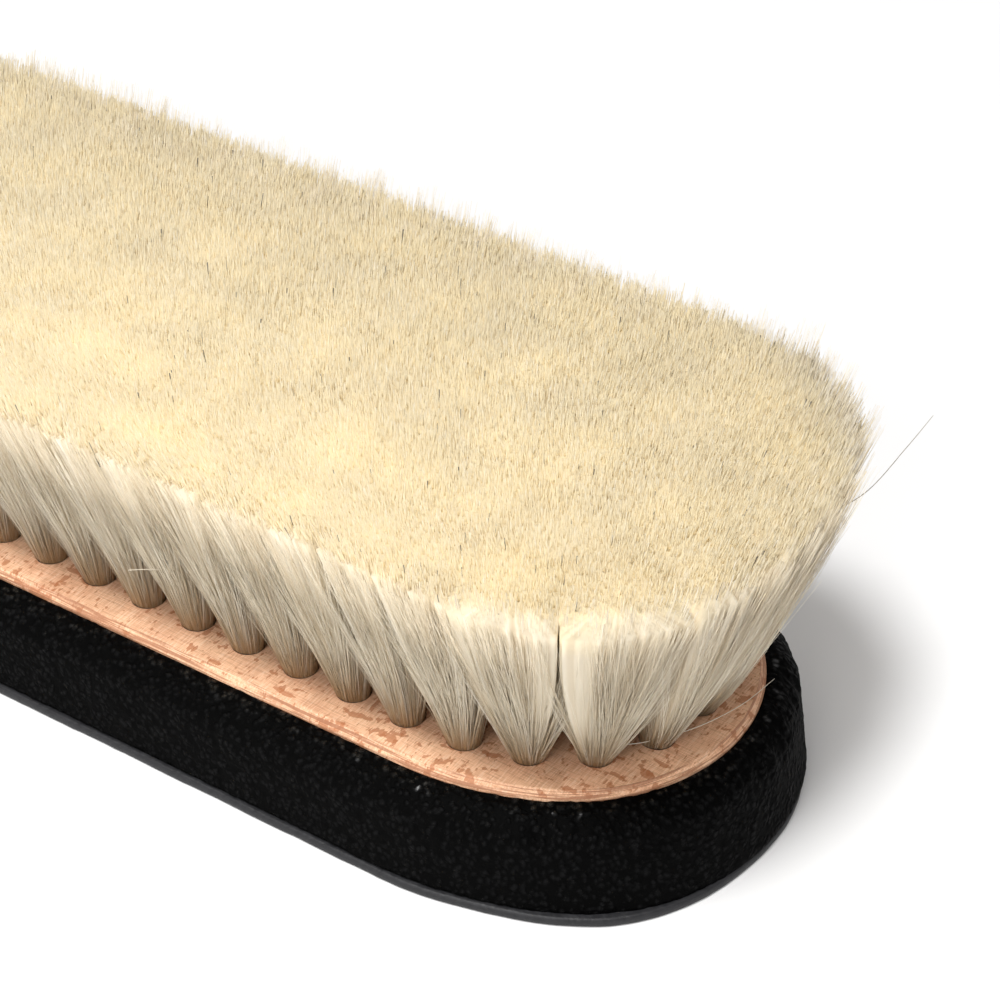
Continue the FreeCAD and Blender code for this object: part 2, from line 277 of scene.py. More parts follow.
low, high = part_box("wood_block")
land = high.z
leaned = -CORE_INSET - (SHOULDER_UP - low.z) * math.tan(LEAN)
profile = [(-10 * mm, low.z), (-CORE_INSET, low.z),
           (leaned + 0.1 * mm, SHOULDER_UP - SHOULDER_FLAT), (leaned - SHOULDER_FLAT, SHOULDER_UP),
           (-LAND_INSET, SHOULDER_UP), (-LAND_INSET, land - LAND_BEVEL)]
for i in range(1, BEVEL_STEPS):
    out = -LAND_INSET - LAND_BEVEL * i / BEVEL_STEPS
    profile.append((out, land - LAND_BEVEL * (1 - i / BEVEL_STEPS)))
profile += [(-LAND_INSET - LAND_BEVEL, land), (-10 * mm, land)]
block = section("block", profile)
open_ends(block)
carry_round(0.8 * mm)
close_up(block)
for vertex in block.data.vertices:
    spot = vertex.co
    if land - LAND_BEVEL - 0.1 * mm < spot.z < land - NEAR:
        chipped = noise.noise(Vector((spot.x * 90, spot.y * 90, spot.z * 2600)))
        vertex.co.z = min(spot.z + chipped * CHIP_DEPTH, land - 0.02 * mm)

cutters = []
for row in HAIR_ROWS:
    for corners in loose_parts(row):
        mouth = Vector(corners[np.abs(corners[:, 2] - land) < NEAR].mean(axis=0))
        lowest = corners[:, 2].min()
        foot = corners[corners[:, 2] < (land + lowest) / 2]
        axis = (mouth - Vector(foot.mean(axis=0))).normalized()
        bpy.ops.mesh.primitive_cylinder_add(vertices=32, radius=HOLE_RADIUS, depth=DRILL_LENGTH)
        drill = bpy.context.object
        drill.rotation_mode = "QUATERNION"
        drill.rotation_quaternion = axis.to_track_quat("Z", "Y")
        drill.location = mouth - axis * (HOLE_DEPTH - DRILL_LENGTH / 2)
        cutters.append(drill)
bpy.ops.object.select_all(action="DESELECT")
for drill in cutters:
    drill.select_set(True)
bpy.context.view_layer.objects.active = cutters[0]
bpy.ops.object.join()
drills = bpy.context.object
holes = block.modifiers.new("holes", "BOOLEAN")
holes.operation = "DIFFERENCE"
holes.solver = "EXACT"
holes.object = drills
bpy.ops.object.select_all(action="DESELECT")
block.select_set(True)
bpy.context.view_layer.objects.active = block
bpy.ops.object.modifier_apply(modifier=holes.name)
bpy.data.objects.remove(drills)
bpy.ops.object.shade_smooth_by_angle(angle=math.radians(40))

beech = Finish("beech")
grain = beech.place()
slow = beech.noise(beech.place(along=0.25), 0.35, 2.0)
tone = beech.mix(slow.rise(0.3, 0.7), (0.81, 0.465, 0.285, 1), (0.92, 0.57, 0.355, 1))
fibres = beech.noise(beech.place(along=0.07, across=1.5), 4.4, 2.0, 0.6)
rays = beech.noise(beech.place(along=1.5, across=0.12), 3.6, 2.0, 0.6)
tone = beech.mix(fibres.rise(0.50, 0.62) * 0.42, tone, (0.52, 0.25, 0.14, 1))
tone = beech.mix(rays.rise(0.50, 0.64) * 0.39, tone, (0.56, 0.28, 0.16, 1))
tone = beech.mix(rays.rise(0.48, 0.36) * 0.50, tone, (0.95, 0.68, 0.48, 1))
crowds = beech.noise(grain, 0.13, 1.0)
for size, longer, level in ((0.50, 0.55, 0.62), (0.70, 1.6, 0.63), (1.2, 2.2, 0.64)):
    spot = beech.place(along=1.0 * longer**0.5, across=1 / longer**0.5)
    blotch = beech.noise(spot, size, 2.0, 0.45) + (rays - 0.5) * 0.12 + (crowds - 0.5) * 0.22
    tone = beech.mix(blotch.rise(level, level + 0.035) * 0.72, tone, (0.46, 0.17, 0.07, 1))
height = beech.add("SeparateXYZ", None, {0: grain}, "Z")
on_bevel = height.rise(land / mm - 0.01, land / mm - 0.08)
layers = beech.noise(beech.place(along=0.10, across=0.10, up=4.5), 1.0, 3.0, 0.7)
tone = beech.mix(on_bevel * layers.rise(0.44, 0.58) * 0.85, tone, (0.36, 0.155, 0.08, 1))
beech.set(Base_Color=tone, Roughness=0.62 - fibres * 0.1, Specular_IOR_Level=0.30)
beech.bump(fibres * 0.6 + rays * 0.5 + on_bevel * layers, 0.10)
beech.put_on(block)
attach(block, "root")
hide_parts("wood_block")

# ---------------------------------------------------------------- tuft anchors
# Flat strips of galvanised steel wire, one in each hole, that hold the folded hair down.
# They are out of sight in the wood.

steel = Finish("galvanised_steel")
dull = steel.noise(steel.place(along=4.0), 1.5, 3.0)
steel.set(Base_Color=steel.mix(dull, (0.42, 0.43, 0.44, 1), (0.62, 0.63, 0.64, 1)),
          Roughness=dull * 0.25 + 0.3, Metallic=1.0)
steel.put_on(nodes["tuft_anchors"])

# ---------------------------------------------------------------- leather on the back
# A panel of thin black leather glued to the back. Its cut edge is painted and burnished
# smooth, stands a little proud of the side leather and waves slightly.

low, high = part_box("back_leather")
thick = high.z - low.z
panel = section("back_panel", [(-2 * mm, thick), (-0.4 * mm, thick), (-0.16 * mm, thick * 0.96),
                               (-0.03 * mm, thick * 0.82), (0, thick * 0.5),
                               (-0.03 * mm, thick * 0.18), (-0.16 * mm, thick * 0.04),
                               (-0.4 * mm, 0), (-2 * mm, 0)])
open_ends(panel)
carry_round(0.8 * mm)
close_up(panel)
# the leather stands fullest at one corner of the near end
FULL_CORNER = math.radians(-42)
CORNER_SPREAD = math.radians(24)
PANEL_BULGE = 1.2
for vertex in panel.data.vertices:
    spot = vertex.co
    away = Vector((spot.x - max(-tip_x, min(tip_x, spot.x)), spot.y, 0)).normalized()
    from_corner = (math.atan2(spot.y, spot.x - tip_x) - FULL_CORNER) / CORNER_SPREAD
    wave = noise.noise(spot * 160) * 0.14 + noise.noise(spot * 600) * 0.05
    wave += PANEL_BULGE * math.exp(-from_corner**2)
    vertex.co = spot + away * wave * mm

painted = Finish("painted_edge")
scuff = painted.noise(painted.place(), 1.2, 4.0)
painted.set(Base_Color=painted.mix(scuff, (0.006, 0.006, 0.007, 1), (0.030, 0.030, 0.033, 1)),
            Roughness=scuff * 0.3 + 0.35, Specular_IOR_Level=0.3)
painted.bump(scuff, 0.12)
painted.put_on(panel)
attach(panel, "root")
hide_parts("back_leather")

# ---------------------------------------------------------------- leather round the side
# A strip of black pebbled leather glued round the side and turned over the shoulder of the
# wood, its ends butted at the far end. At the round ends it gathers in small puckers.

low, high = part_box("side_leather")
LEDGE = 0.35 * mm
SHOULDER = 4.0 * mm
THICK = 1.2 * mm
SEAM = 0.3 * mm
CLOSE = 5.35 * mm
STEP = 1.37 * mm
PEBBLE = 0.95 * mm
PUCKER = 1.1 * mm
TIP_BULGE = 0.6
CORNER_BULGE = 0.7

arc_up = high.z - SHOULDER
wall_up = arc_up + SHOULDER * math.sin(LEAN)
wall_out = -LEDGE - (wall_up - low.z) * math.tan(LEAN)
arc_out = wall_out - SHOULDER * math.cos(LEAN)


def shoulder(radius, steps):
    """Points up over the shoulder, at a radius round its middle."""
    turns = [LEAN + (math.pi / 2 - LEAN) * i / steps for i in range(steps + 1)]
    return [(arc_out + radius * math.cos(t), arc_up + radius * math.sin(t)) for t in turns]


wall_steps = round((wall_up - low.z) / STEP)
outside = [(-LEDGE - 0.2 * mm, low.z), (-LEDGE, low.z + 0.3 * mm)]
for i in range(1, wall_steps):
    share = i / wall_steps
    outside.append((-LEDGE + (wall_out + LEDGE) * share, low.z + (wall_up - low.z) * share))
outside += shoulder(SHOULDER, 5)
outside += [(-CLOSE + 0.3 * mm, high.z), (-CLOSE - 0.15 * mm, high.z - 0.1 * mm),
            (-CLOSE, high.z - 0.8 * mm)]
inside = shoulder(SHOULDER - THICK, 2)[::-1]
inside += [(-LEDGE - THICK, low.z)]
strip = section("side_strip", outside + inside)
edit(strip)
carry_round(STEP, SEAM)
bpy.ops.object.mode_set(mode="OBJECT")
finer = strip.modifiers.new("finer", "SUBSURF")
finer.levels = 2
finer.boundary_smooth = "PRESERVE_CORNERS"
bpy.ops.object.modifier_apply(modifier=finer.name)
edit(strip)
close_up(strip)

skin = coordinates(strip.data)
normals = coordinates(strip.data, "vector")
away = np.stack([skin[:, 0] - np.clip(skin[:, 0], -tip_x, tip_x), skin[:, 1]], axis=1)
turn = np.arctan2(away[:, 1], np.abs(away[:, 0]))
at_end = np.clip((np.abs(skin[:, 0]) - tip_x) / (8 * mm) + 0.5, 0, 1)
at_tip = np.clip(1.2 - np.abs(turn) / math.radians(45), 0, 1) * at_end
from_corner = (np.arctan2(away[:, 1], skin[:, 0] - tip_x) - FULL_CORNER) / CORNER_SPREAD
at_corner = np.exp(-from_corner**2) * (skin[:, 0] > 0)
low_down = np.clip((wall_up - skin[:, 2]) / (wall_up - low.z), 0, 1)
outer = np.einsum("ij,ij->i", normals[:, :2], away) + normals[:, 2] * 20 * mm > 0
lift = np.zeros(len(skin))
for i in np.nonzero(outer)[0]:
    spot = Vector(skin[i])
    pebble = 1 - noise.voronoi(spot / PEBBLE)[0][0] ** 2
    up = (skin[i, 2] - (high.z - 2.2 * mm)) / (1.5 * mm)
    round_end = turn[i] * HALF_WIDTH / PUCKER
    fold = noise.noise(Vector((round_end, skin[i, 0] * 60, skin[i, 2] * 120)))
    lump = noise.noise(spot * 250) * 0.12 + noise.noise(spot * 90) * 0.15 * at_end[i]
    lift[i] = (pebble - 0.8) * 0.22 + lump + TIP_BULGE * at_tip[i] * low_down[i] ** 0.7
    lift[i] += CORNER_BULGE * at_corner[i] * low_down[i] ** 0.7
    lift[i] += fold * math.exp(-up * up) * (0.1 + 0.35 * at_end[i])
skin += normals * lift[:, None] * mm
near_wood = np.clip((inset(skin) / mm - 3.2) / 0.9, 0, 1)
at_rim = strip.data.attributes.new("at_rim", "FLOAT", "POINT")
at_rim.data.foreach_set("value", near_wood.astype(np.float32))
strip.data.vertices.foreach_set("co", skin.ravel())

pebbled = Finish("pebbled_leather")
spot = pebbled.place()
uneven = pebbled.add("TexNoise", None, {"Vector": spot, "Scale": 0.8, "Detail": 2.0}, "Color")
bent = pebbled.add("VectorMath", {"operation": "MULTIPLY_ADD"},
                   {0: uneven, 1: (0.6, 0.6, 0.6), 2: spot})
grains = pebbled.add("TexVoronoi", {"feature": "SMOOTH_F1"},
                     {"Vector": bent, "Scale": 1.25, "Smoothness": 0.30})
fine = pebbled.add("TexVoronoi", {"feature": "SMOOTH_F1"},
                   {"Vector": bent, "Scale": 3.4, "Smoothness": 0.5})
pebble = grains.rise(0.62, 0.12)
wrinkle = pebbled.noise(spot, 2.6, 4.0, 0.65)
rim = pebbled.add("Attribute", {"attribute_name": "at_rim"}, output="Fac")
# pebble tops that catch the light: glossier, with coat near the wood, and painted lighter in colour
gloss_and_painted_light = pebble * pebbled.noise(spot, 0.55, 2.0).rise(0.42, 0.62)
# painted shade and light on the pebbles: the base colour is darker in the creases and lighter on
# the pebble tops
tone = pebbled.mix(pebble * 0.7 + gloss_and_painted_light * 0.3, (0.0007, 0.0007, 0.0007, 1),
                   (0.0058, 0.0058, 0.0060, 1))
pebbled.set(Base_Color=tone, Roughness=0.62 - gloss_and_painted_light * 0.15, Specular_IOR_Level=0.03,
            Coat_Weight=rim * gloss_and_painted_light, Coat_Roughness=0.2)
pebbled.bump(pebble + (1 - fine) * 0.1 + wrinkle * 0.1, 0.26)
pebbled.put_on(strip)
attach(strip, "root")
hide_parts("side_leather")

# ---------------------------------------------------------------- tufts of goat hair
# Each tuft is some hundreds of goat hairs folded over an anchor and driven into a hole. It
# leaves the wood as a tight round bundle, khaki at its foot and darkened there further by
# painted shade, spreads until it meets its neighbours about half way up, and all are clipped
# level.

FOOT_RADIUS = 2.0 * mm
SLANT = 0.12
CORE_TOP = 0.965
TIPS_PER_MM2 = 22.0
LOCKS = 52
HAIRS_A_LOCK = 12
TUFTS_A_PIECE = 4
rng = np.random.default_rng(36)

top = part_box("rim_tufts_front")[1].z
length = top - land


def one_hair(name, cuts, end):
    """A hair of unit length and radius, cut across so many times and as thin as end at its
    tip: its points, and its faces as lists of them."""
    bpy.ops.mesh.primitive_cone_add(vertices=3, radius1=1, radius2=end, depth=1,
                                    location=(0, 0, 0.5))
    hair = bpy.context.object
    hair.name = name
    bpy.ops.object.transform_apply(location=True)
    for cut in range(1, cuts + 1):
        edit(hair)
        bpy.ops.mesh.bisect(plane_co=(0, 0, cut / (cuts + 1)), plane_no=(0, 0, 1))
        bpy.ops.object.mode_set(mode="OBJECT")
    points = coordinates(hair.data)
    faces = [list(face.vertices) for face in hair.data.polygons]
    bpy.data.objects.remove(hair)
    return points, faces


def clipped_hair():
    """The end of a hair, clipped across: as few faces as a closed form can have."""
    bpy.ops.mesh.primitive_cone_add(vertices=3, radius1=1, depth=1)
    hair = bpy.context.object
    for vertex, spot in zip(hair.data.vertices, ((-1, 0, 0), (1, 0, 0), (0, 1, 1), (0, -1, 1))):
        vertex.co = spot
    edit(hair)
    bpy.ops.mesh.normals_make_consistent(inside=False)
    bpy.ops.object.mode_set(mode="OBJECT")
    points = coordinates(hair.data)
    faces = [list(face.vertices) for face in hair.data.polygons]
    bpy.data.objects.remove(hair)
    return points, faces


long_hair = one_hair("long_hair", 2, 0.3)
curly_hair = one_hair("curly_hair", 4, 0.4)
short_hair = clipped_hair()


class Tuft:
    """Where one tuft leaves the wood and its share of the trimmed face."""

    def __init__(self, points):
        foot = points[np.abs(points[:, 2] - land) < NEAR]
        cell = points[np.abs(points[:, 2] - top) < NEAR]
        self.foot = foot[:, :2].mean(axis=0)
        middle = cell[:, :2].mean(axis=0)
        turns = np.arctan2(cell[:, 1] - middle[1], cell[:, 0] - middle[0])
        self.cell = cell[np.argsort(turns), :2]
        after = np.roll(self.cell, -1, axis=0)
        slices = self.cell[:, 0] * after[:, 1] - self.cell[:, 1] * after[:, 0]
        self.area = slices.sum() / 2
        self.middle = ((self.cell + after) * slices[:, None]).sum(axis=0) / (6 * self.area)
        outward = self.foot - (np.clip(self.foot[0], -side_x, side_x), 0)
        self.facing = math.atan2(outward[1], outward[0])
        self.on_rim = False

    def reach(self, turns):
        """How far the cell goes from its middle, each way."""
        way = np.stack([np.cos(turns), np.sin(turns)], axis=-1)
        found = np.full(turns.shape, np.inf)
        for a, b in zip(self.cell - self.middle, np.roll(self.cell, -1, axis=0) - self.middle):
            side = b - a
            normal = np.array([side[1], -side[0]])
            facing = way @ normal
            gap = np.where(facing > 1e-9, (a @ normal) / np.maximum(facing, 1e-9), np.inf)
            found = np.minimum(found, gap)
        return found

    def outness(self, turns):
        """1 for a way that looks out of the brush, 0 for one that looks into it."""
        return np.clip(np.cos(turns - self.facing) * 1.4 - 0.4, 0, 1) * self.on_rim

    def along(self, share, turns, out_foot, out_tip):
        """Points at shares of the length, at the given turns and distances from the axis. The
        hair slants out of its hole until it meets the neighbours' and then goes up."""
        room = np.maximum(self.reach(turns) - FOOT_RADIUS, 0.5 * mm)
        slant = np.maximum(SLANT * length / room, 1.25)
        bend = (1 + slant**3) ** (1 / 3)
        eased = slant * share / (1 + (slant * np.maximum(share, 0)) ** 3) ** (1 / 3) * bend / slant
        late = 1 - 0.22 * math.cos(self.facing) + 0.35 * max(-math.sin(self.facing), 0)
        bow = np.sign(share) * np.abs(share) ** (late if self.on_rim else 1)
        centre = self.foot + (self.middle - self.foot) * bow[..., None]
        away = out_foot * (1 - eased) + out_tip * eased
        way = np.stack([np.cos(turns), np.sin(turns)], axis=-1)
        flat = centre + way * away[..., None]
        return np.concatenate([flat, (land + length * share)[..., None]], axis=-1)


def tufts_of(name):
    """The tufts of one node of the frame, from its left end to its right."""
    tufts = [Tuft(corners) for corners in loose_parts(name)]
    return sorted(tufts, key=lambda tuft: (tuft.foot[0], tuft.foot[1]))


class Bundle:
    """Points, faces and shades of many hairs, gathered into one piece."""

    def __init__(self):
        self.points, self.faces, self.shades, self.count = [], [], [], 0

    def gather(self, points, faces, shades):
        """points is (hairs, points of a hair, 3), faces are those of one hair."""
        hairs, size, _ = points.shape
        starts = self.count + np.arange(hairs) * size
        for face in faces:
            self.faces.append((starts[:, None] + np.array(face)).reshape(-1, len(face)))
        self.points.append(points.reshape(-1, 3))
        self.shades.append(shades.reshape(-1, 4))
        self.count += hairs * size

    def piece(self, name):
        points = np.concatenate(self.points)
        corners = np.concatenate([block.ravel() for block in self.faces])
        sizes = np.concatenate([np.full(len(block), block.shape[1]) for block in self.faces])
        mesh = bpy.data.meshes.new(name)
        mesh.vertices.add(len(points))
        mesh.vertices.foreach_set("co", points.astype(np.float32).ravel())
        mesh.loops.add(len(corners))
        mesh.loops.foreach_set("vertex_index", corners.astype(np.int32))
        mesh.polygons.add(len(sizes))
        mesh.polygons.foreach_set("loop_start", (np.cumsum(sizes) - sizes).astype(np.int32))
        mesh.update(calc_edges=True)
        mesh.shade_smooth()
        layer = mesh.color_attributes.new("hair", "FLOAT_COLOR", "POINT")
        layer.data.foreach_set("color", np.concatenate(self.shades).astype(np.float32).ravel())
        piece = bpy.data.objects.new(name, mesh)
        bpy.context.scene.collection.objects.link(piece)
        return piece


def combed(points):
    """How the hair leans, across and along, at places on the trimmed face: outwards towards
    the ends of the brush, with soft whorls."""
    spots = points / (11 * mm)
    whorls = [[noise.noise(Vector((x, y, level))) for level in (5.0, 9.0)] for x, y in spots]
    lean = np.array(whorls) * 0.14
    lean[:, 0] += points[:, 0] / HALF_LENGTH * 0.06
    return lean


def hairs_of(bundle, tuft, pattern, turns, out_foot, out_tip, first, last, width, stray, cream,
             dark=0.0, lean=0.0, pull=0.0, shade=None):
    """Hairs of a tuft from first to last of its length. Each one wanders by stray, its tip is
    combed over by lean and pulled aside by pull; cream, dark and shade colour it."""
    shape, faces = pattern
    count = len(turns)
    share = first[:, None] + (last - first)[:, None] * shape[:, 2]
    grown = np.clip(share, 0, 1) ** 1.2
    ways = np.repeat(turns[:, None], share.shape[1], 1)
    path = tuft.along(share, ways, out_foot[:, None], out_tip[:, None])
    combing = np.broadcast_to(lean, (count, 2))
    path[..., :2] += combing[:, None] * ((share - 1) * length * grown**2)[..., None]
    path[..., :2] += np.broadcast_to(pull, (count, 2))[:, None] * grown[..., None]
    around = rng.uniform(0, 2 * math.pi, count)
    sideways = np.stack([np.cos(around), np.sin(around), np.zeros(count)], axis=1)
    crossways = np.stack([-np.sin(around), np.cos(around), np.zeros(count)], axis=1)
    phase = rng.uniform(0, 2 * math.pi, (count, 1))
    curl = np.sin(share * rng.uniform(3, 9, (count, 1)) + phase) - np.sin(phase)
    bend = share * rng.normal(0, 1, (count, 1))
    path += sideways[:, None] * (stray[:, None] * curl * 0.4 * grown)[..., None]
    path += crossways[:, None] * (stray[:, None] * bend * grown)[..., None]
    path += (width[:, None] * shape[:, 0])[..., None] * sideways[:, None]
    path += (width[:, None] * shape[:, 1])[..., None] * crossways[:, None]
    shades = np.ones((*share.shape, 4))
    tones = rng.normal(0.5, 0.25, count) if shade is None else shade
    shades[..., 0] = np.clip(tones, 0, 1)[:, None]
    shades[..., 1] = np.clip(share, 0, 1)
    shades[..., 2] = np.broadcast_to(dark, count)[:, None]
    shades[..., 3] = np.broadcast_to(cream, count)[:, None]
    bundle.gather(path, faces, shades)


def core_of(bundle, tuft):
    """The close middle of a tuft, from in the wood to just under the trimmed face, ridged
    like the hairs beside each other."""
    sides, levels = (132, 8) if tuft.on_rim else (20, 4)
    turns = np.linspace(0, 2 * math.pi, sides, endpoint=False)
    share = np.concatenate([[-0.04], np.linspace(0, CORE_TOP - rng.uniform(0, 0.01), levels)])
    wide, shares = np.meshgrid(turns, share)
    outer = np.clip((np.cos(wide - tuft.facing) - 0.35) * 2.2, 0, 1) * tuft.on_rim
    out_tip = tuft.reach(wide) + (0.5 - 1.3 * outer) * mm
    rings = tuft.along(shares, wide, np.full(wide.shape, FOOT_RADIUS * 0.90), out_tip)
    ridge = rng.normal(0, 0.09, sides)
    away = np.stack([np.cos(wide), np.sin(wide), np.zeros(wide.shape)], axis=-1)
    rings += away * (ridge * np.clip(shares * 4, 0, 1) * mm)[..., None]
    rings[-1, :, 2] -= tuft.outness(turns) * 0.9 * mm
    caps = rings[[0, -1]].mean(axis=1)
    caps[1, 2] = land + length * CORE_TOP
    points = np.concatenate([rings.reshape(-1, 3), caps])
    faces = []
    for i in range(len(share) - 1):
        for k in range(sides):
            after = (k + 1) % sides
            a, b = i * sides, (i + 1) * sides
            faces.append([a + k, a + after, b + after, b + k])
    last = (len(share) - 1) * sides
    for k in range(sides):
        after = (k + 1) % sides
        faces.append([len(points) - 2, after, k])
        faces.append([len(points) - 1, last + k, last + after])
    shades = np.ones((1, len(points), 4))
    # strands that the ridges push out are painted lighter and recessed ones darker: painted shade
    # in the grooves over a random strand tone
    streaks_and_groove_shade = np.clip(0.40 + ridge * 3.5, 0, 1)
    # the top cap, seen between the clipped tips, is painted a little darker as shade between them
    shades[..., 0] = np.append(np.tile(streaks_and_groove_shade, len(share)), [0.5, 0.4])
    shades[0, :, 1] = np.clip(np.append(shares.ravel(), [0, CORE_TOP]), 0, 1)
    shades[..., 2] = 0
    shades[..., 3] = np.append(1 - tuft.outness(wide).ravel(), [1, 1])
    for face in faces:
        bundle.faces.append(np.array([face]) + bundle.count)
    bundle.points.append(points)
    bundle.shades.append(shades.reshape(-1, 4))
    bundle.count += len(points)


def long_hairs_of(bundle, tuft):
    """The hairs that show on the outside of a rim tuft, over its whole length. They cling
    together in locks that fan out, cross the neighbours' and end in points."""
    count = LOCKS * HAIRS_A_LOCK
    round_brush = np.array([-math.sin(tuft.facing), math.cos(tuft.facing)])
    lock_turn = tuft.facing + rng.uniform(-1.9, 1.9, LOCKS)
    lock_reach = tuft.reach(lock_turn)
    lock_out = lock_reach * (1 - np.abs(rng.normal(0, 0.06, LOCKS))) + 0.45 * mm
    lock_out += (tuft.foot[1] > 15 * mm) * 0.9 * mm
    lock_way = np.stack([np.cos(lock_turn), np.sin(lock_turn)], axis=1)
    lock_tip = tuft.middle + lock_way * lock_out[:, None]
    apart = 0.26 + 0.16 * max(math.cos(tuft.facing), 0)
    lock_tip += rng.normal(0, apart, (LOCKS, 1)) * lock_reach[:, None] * round_brush
    lock_last = rng.normal(0.992 - 0.035 * max(-math.sin(tuft.facing), 0), 0.032, LOCKS)
    lock_shade = rng.normal(0.47, 0.22, LOCKS)
    lock = np.repeat(np.arange(LOCKS), HAIRS_A_LOCK)
    turns = lock_turn[lock] + rng.normal(0, 0.30, count)
    depth = 1 - np.abs(rng.normal(0, 0.10, count))
    out_tip = tuft.reach(turns) * depth
    own_tip = tuft.middle + np.stack([np.cos(turns), np.sin(turns)], axis=1) * out_tip[:, None]
    jitter = rng.normal(0, 0.42, (count, 2)) * mm
    pull = lock_tip[lock] + jitter - own_tip
    first = np.full(count, -0.02)
    last = lock_last[lock] + 0.012 - np.hypot(jitter[:, 0], jitter[:, 1]) / (26 * mm)
    short = rng.random(count) < 0.22
    last[short] = rng.uniform(0.55, 0.97, short.sum())
    width = rng.uniform(0.037, 0.060, count) * mm
    stray = np.abs(rng.normal(0, 0.40, count)) * mm
    hairs_of(bundle, tuft, long_hair, turns, FOOT_RADIUS * depth, out_tip, first,
             np.minimum(last, 1.042), width, stray, rng.uniform(0, 0.35, count), pull=pull,
             shade=lock_shade[lock] + rng.normal(0, 0.22, count))
    loose = count // 8
    turns = tuft.facing + rng.uniform(-1.6, 1.6, loose)
    out_tip = tuft.reach(turns) + rng.uniform(-0.3, 0.8, loose) * mm
    last = rng.uniform(0.5, 1.02, loose)
    hairs_of(bundle, tuft, curly_hair, turns, np.full(loose, FOOT_RADIUS), out_tip,
             np.zeros(loose), last, rng.uniform(0.03, 0.045, loose) * mm,
             rng.uniform(0.6, 2.2, loose) * mm, 0.0,
             pull=rng.normal(0, 3.0, (loose, 1)) * mm * round_brush,
             shade=rng.normal(0.8, 0.2, loose))


def clipped_tips_of(bundle, tuft):
    """The ends of all of a tuft's hairs, which make the trimmed face."""
    count = round(tuft.area / mm**2 * TIPS_PER_MM2)
    turns = rng.uniform(0, 2 * math.pi, count * 4)
    reach = tuft.reach(turns)
    chosen = rng.random(count * 4) < (reach / reach.max()) ** 2
    turns, reach = turns[chosen][:count], reach[chosen][:count]
    count = len(turns)
    inward = np.sqrt(rng.random(count))
    out_tip = reach * inward + rng.normal(0, 0.25 * mm, count)
    out_tip -= tuft.outness(turns) * inward * 0.8 * mm
    way = np.stack([np.cos(turns), np.sin(turns)], axis=-1)
    spots = tuft.middle + way * out_tip[:, None]
    gap = np.maximum(inset(spots) - FACE_INSET, 0) / mm
    ragged = np.array([noise.noise(Vector((x, y, 0)) / (1.3 * mm)) for x, y in spots])
    near_edge = 0.8 * np.exp(-((np.maximum(gap - ragged * 2.0, 0) / 0.6) ** 2)) * (gap < 4)
    first = CORE_TOP - 0.04 - 0.55 * np.exp(-((gap / 1.6) ** 2)) * rng.uniform(0.2, 1.0, count)
    last = 1 + rng.normal(0, 0.008, count)
    last += (rng.random(count) < 0.10) * rng.uniform(0, 0.030, count)
    in_front = np.clip((5 - spots[:, 1] / mm) / 15, 0, 1)
    last -= np.exp(-((gap / 1.5) ** 2)) * (np.abs(rng.normal(0, 0.03, count)) + 0.07 * in_front)
    dark = (rng.random(count) < 0.0011) * 1.0
    last += dark * 0.012
    wisp = rng.random(count) < np.clip(0.16 - gap / 26, 0, 0.16)
    last[wisp] = rng.uniform(1.0, 1.04, wisp.sum())
    width = rng.uniform(0.032, 0.049, count) * (1 + dark * 0.5) * mm
    stray = np.abs(rng.normal(0, 0.5, count)) * mm
    lean = combed(spots)
    cream = 1 - near_edge * rng.uniform(0.5, 1.2, count) - wisp * rng.uniform(0.2, 0.9, count)
    hairs_of(bundle, tuft, short_hair, turns, FOOT_RADIUS * inward, out_tip, first,
             np.minimum(last, 1.042), width, stray, np.clip(cream, 0, 1), dark, lean)


def strand(bundle, radius, shade, dark, *spots):
    """One stray hair through the given places, in millimetres."""
    spots = np.array(spots, float)
    before, after = 2 * spots[0] - spots[1], 2 * spots[-1] - spots[-2]
    padded = np.concatenate([[before], spots, [after]])
    path = []
    for a, b, c, d in zip(padded, padded[1:], padded[2:], padded[3:]):
        t = np.linspace(0, 1, 7)[:-1, None]
        cubic = 2 * a - 5 * b + 4 * c - d + t * (3 * (b - c) + d - a)
        path.append(b + 0.5 * t * (c - a + t * cubic))
    path = np.concatenate([*path, spots[-1:]]) * mm
    ways = np.gradient(path, axis=0)
    ways /= np.linalg.norm(ways, axis=1)[:, None]
    sideways = np.cross(ways, (0.12, 0.2, 0.97))
    sideways /= np.linalg.norm(sideways, axis=1)[:, None]
    crossways = np.cross(ways, sideways)
    turns = np.arange(5) * 2 * math.pi / 5
    thin = radius * mm * np.linspace(1.0, 0.5, len(path))[:, None, None]
    rings = path[:, None] + thin * (np.cos(turns)[:, None] * sideways[:, None]
                                    + np.sin(turns)[:, None] * crossways[:, None])
    faces = [[0, 4, 3, 2, 1], [5 * len(path) - 5 + k for k in range(5)]]
    for i in range(len(path) - 1):
        for k in range(5):
            after = (k + 1) % 5
            faces.append([5 * i + k, 5 * i + after, 5 * i + 5 + after, 5 * i + 5 + k])
    shades = np.ones((1, 5 * len(path), 4))
    shades[..., 0], shades[..., 2], shades[..., 3] = shade, dark, 0.0
    bundle.gather(rings.reshape(1, -1, 3), faces, shades)


goat_hair = Finish("goat_hair")
painted_in = goat_hair.add("Attribute", {"attribute_name": "hair"}, output="Color")
parts_of = {"Color": painted_in}
shade = goat_hair.add("SeparateColor", None, parts_of, "Red")
along = goat_hair.add("SeparateColor", None, parts_of, "Green")
dark = goat_hair.add("SeparateColor", None, parts_of, "Blue")
creamy = goat_hair.add("Attribute", {"attribute_name": "hair"}, output="Alpha")
